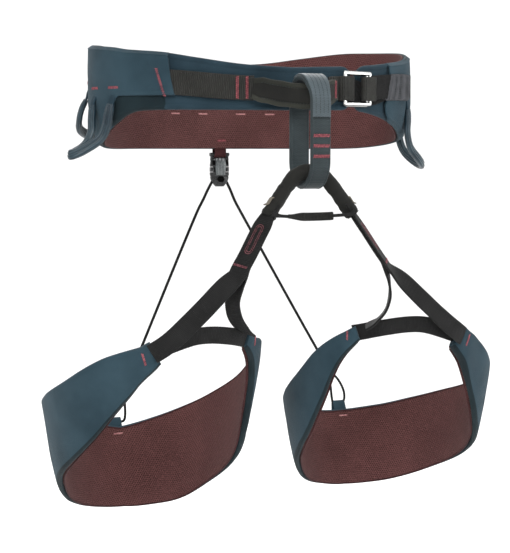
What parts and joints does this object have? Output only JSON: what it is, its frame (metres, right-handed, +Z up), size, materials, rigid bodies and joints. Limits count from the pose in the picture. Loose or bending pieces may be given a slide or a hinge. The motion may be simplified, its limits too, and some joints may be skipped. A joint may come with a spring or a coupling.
{
  "type": "climbing harness",
  "caption": "Sport climbing harness with a padded waist belt and leg loops, tie-in and belay loops, a double-back waist buckle, gear loops and elastic risers.",
  "frame": {"origin": "centre of the wearer's waist, level with the middle of the front waist webbing", "axes": "+X to the wearer's left, -Y to the front, +Z up"},
  "size_m": [0.401, 0.2378, 0.4073],
  "materials": {
    "outer_fabric": "woven ripstop, semi-matt",
    "inner_mesh": "spacer mesh, matt",
    "foam": "closed-cell foam",
    "black_webbing": "ribbed nylon webbing",
    "wear_sleeve": "tightly woven abrasion sleeve",
    "belay_webbing": "ribbed nylon webbing",
    "riser_fabric": "flat webbing",
    "bartack_thread": "satin-stitched thread",
    "elastic": "ribbed elastic band",
    "buckle_metal": "anodised, satin",
    "moulded_plastic": "moulded",
    "gear_loop_plastic": "soft moulded tube",
    "riser_elastic": "braided elastic cord"
  },
  "bodies": {
    "waist_belt": {"belt_shell_right": "outer_fabric", "belt_foam_right": "foam", "belt_liner_right": "inner_mesh", "front_wing_right": "outer_fabric", "waist_webbing": "black_webbing", "tie_in_webbing": "black_webbing", "tie_in_sleeve": "wear_sleeve", "lower_tie_in_webbing": "black_webbing", "lower_tie_in_sleeve": "wear_sleeve", "leg_link_webbing": "black_webbing", "cross_strap": "black_webbing", "cross_strap_sleeve": "wear_sleeve", "buckle_frame": "buckle_metal", "buckle_webbing": "black_webbing", "adjust_strap": "black_webbing", "belt_bartacks": "bartack_thread", "riser_tab": "riser_fabric", "riser_buckle_socket": "moulded_plastic", "riser_buckle_plug": "moulded_plastic", "riser_cord_left": "riser_elastic", "riser_cord_right": "riser_elastic"},
    "belt_left": {"belt_shell_left": "outer_fabric", "belt_foam_left": "foam", "belt_liner_left": "inner_mesh", "front_wing_left": "outer_fabric"},
    "buckle_slider": {"buckle_slider": "buckle_metal"},
    "strap_keeper": {"strap_keeper": "elastic"},
    "belay_loop": {"belay_loop_webbing": "belay_webbing", "belay_loop_bartacks": "bartack_thread"},
    "haul_loop": {"haul_loop": "black_webbing"},
    "left_leg": {"leg_shell_left": "outer_fabric", "leg_foam_left": "foam", "leg_liner_left": "inner_mesh", "leg_cross_webbing_left": "black_webbing", "outer_leg_strap_left": "black_webbing", "inner_leg_strap_left": "black_webbing", "leg_tab_left": "outer_fabric", "leg_bartacks_left": "bartack_thread", "cord_knot_left": "riser_elastic"},
    "riser_prong_left": {"riser_prong_left": "moulded_plastic"},
    "front_gear_loop_left": {"front_gear_loop_core_left": "black_webbing", "front_gear_loop_left": "gear_loop_plastic"},
    "rear_gear_loop_left": {"rear_gear_loop_core_left": "black_webbing", "rear_gear_loop_left": "gear_loop_plastic"},
    "right_leg": {"leg_shell_right": "outer_fabric", "leg_foam_right": "foam", "leg_liner_right": "inner_mesh", "leg_cross_webbing_right": "black_webbing", "outer_leg_strap_right": "black_webbing", "inner_leg_strap_right": "black_webbing", "leg_tab_right": "outer_fabric", "leg_bartacks_right": "bartack_thread", "cord_knot_right": "riser_elastic"},
    "riser_prong_right": {"riser_prong_right": "moulded_plastic"},
    "front_gear_loop_right": {"front_gear_loop_core_right": "black_webbing", "front_gear_loop_right": "gear_loop_plastic"},
    "rear_gear_loop_right": {"rear_gear_loop_core_right": "black_webbing", "rear_gear_loop_right": "gear_loop_plastic"}
  },
  "joints": [
    {"name": "waist_open", "type": "hinge", "parent": "waist_belt", "child": "belt_left", "pos_m": [0.02525, 0.08558, 0], "axis": [0, 0, 1], "range_deg": [0, 12], "stiffness_Nm_per_rad": 0.4, "deforming": ["adjust_strap"]},
    {"name": "buckle_slide", "type": "slide", "parent": "waist_belt", "child": "buckle_slider", "axis": [0.9663, 0.2573, 0], "range_m": [-0.0008, 0.0008]},
    {"name": "keeper_slide", "type": "slide", "parent": "belt_left", "child": "strap_keeper", "axis": [0.8144, 0.5803, 0], "range_m": [-0.0025, 0.0025]},
    {"name": "belay_loop_turn", "type": "hinge", "parent": "waist_belt", "child": "belay_loop", "pos_m": [0, -0.119, -0.035], "axis": [0, 0, 1], "range_deg": [-18, 18]},
    {"name": "haul_loop_lift", "type": "hinge", "parent": "waist_belt", "child": "haul_loop", "pos_m": [0, 0.0886, 0.004], "axis": [1, 0, 0], "range_deg": [0, 80]},
    {"name": "left_leg_swing", "type": "hinge", "parent": "waist_belt", "child": "left_leg", "pos_m": [0.064, -0.13, -0.142], "axis": [1, 0, 0], "range_deg": [-20, 30], "stiffness_Nm_per_rad": 2, "deforming": ["riser_cord_left", "leg_link_webbing"]},
    {"name": "front_gear_loop_left_lift", "type": "hinge", "parent": "belt_left", "child": "front_gear_loop_left", "pos_m": [0.1368, -0.01919, -0.0055], "axis": [0.3626, 0.932, 0], "range_deg": [-45, 0], "stiffness_Nm_per_rad": 0.02},
    {"name": "rear_gear_loop_left_lift", "type": "hinge", "parent": "belt_left", "child": "rear_gear_loop_left", "pos_m": [0.0988, 0.0489, 0], "axis": [-0.8083, 0.5887, 0], "range_deg": [-45, 0], "stiffness_Nm_per_rad": 0.02},
    {"name": "riser_prong_left_squeeze", "type": "hinge", "parent": "waist_belt", "child": "riser_prong_left", "pos_m": [0.0048, 0.0858, -0.0733], "axis": [0, 1, 0], "range_deg": [-8, 0], "stiffness_Nm_per_rad": 0.02},
    {"name": "right_leg_swing", "type": "hinge", "parent": "waist_belt", "child": "right_leg", "pos_m": [-0.064, -0.13, -0.142], "axis": [1, 0, 0], "range_deg": [-20, 30], "stiffness_Nm_per_rad": 2, "deforming": ["riser_cord_right"]},
    {"name": "front_gear_loop_right_lift", "type": "hinge", "parent": "waist_belt", "child": "front_gear_loop_right", "pos_m": [-0.14054, -0.01869, -0.0055], "axis": [0.3461, -0.9382, 0], "range_deg": [-45, 0], "stiffness_Nm_per_rad": 0.02},
    {"name": "rear_gear_loop_right_lift", "type": "hinge", "parent": "waist_belt", "child": "rear_gear_loop_right", "pos_m": [-0.09809, 0.04942, 0], "axis": [-0.8133, -0.5819, 0], "range_deg": [-45, 0], "stiffness_Nm_per_rad": 0.02},
    {"name": "riser_prong_right_squeeze", "type": "hinge", "parent": "waist_belt", "child": "riser_prong_right", "pos_m": [-0.0048, 0.0858, -0.0733], "axis": [0, 1, 0], "range_deg": [0, 8], "stiffness_Nm_per_rad": 0.02}
  ]
}
